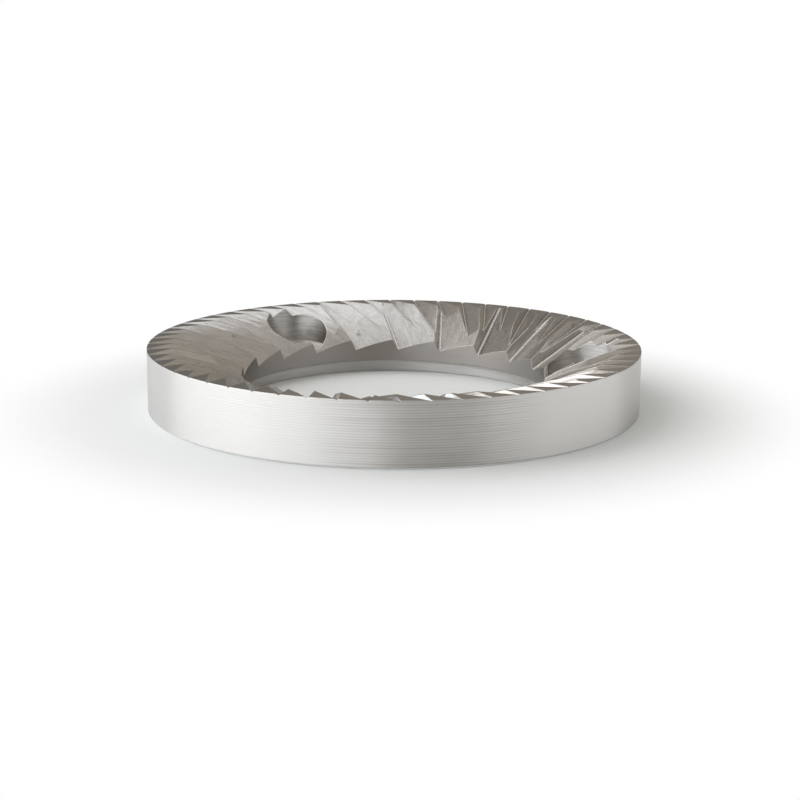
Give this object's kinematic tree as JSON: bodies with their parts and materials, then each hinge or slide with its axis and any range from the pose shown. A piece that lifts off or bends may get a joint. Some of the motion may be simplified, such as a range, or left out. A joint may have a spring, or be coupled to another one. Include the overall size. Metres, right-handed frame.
{
  "type": "coffee grinder burr",
  "caption": "Flat steel ring burr for a coffee grinder, with coarse breaker teeth at the bore, fine grinding teeth out to the rim and countersunk screw holes.",
  "frame": {"origin": "centre of the ring on its flat back face", "axes": "+Z along the ring's axis, out of the toothed face; +X through one screw hole"},
  "size_m": [0.064, 0.064, 0.0082],
  "materials": {
    "tool_steel": "ground and turned bare steel"
  },
  "bodies": {
    "root": {"grinding_burr": "tool_steel"}
  },
  "joints": []
}
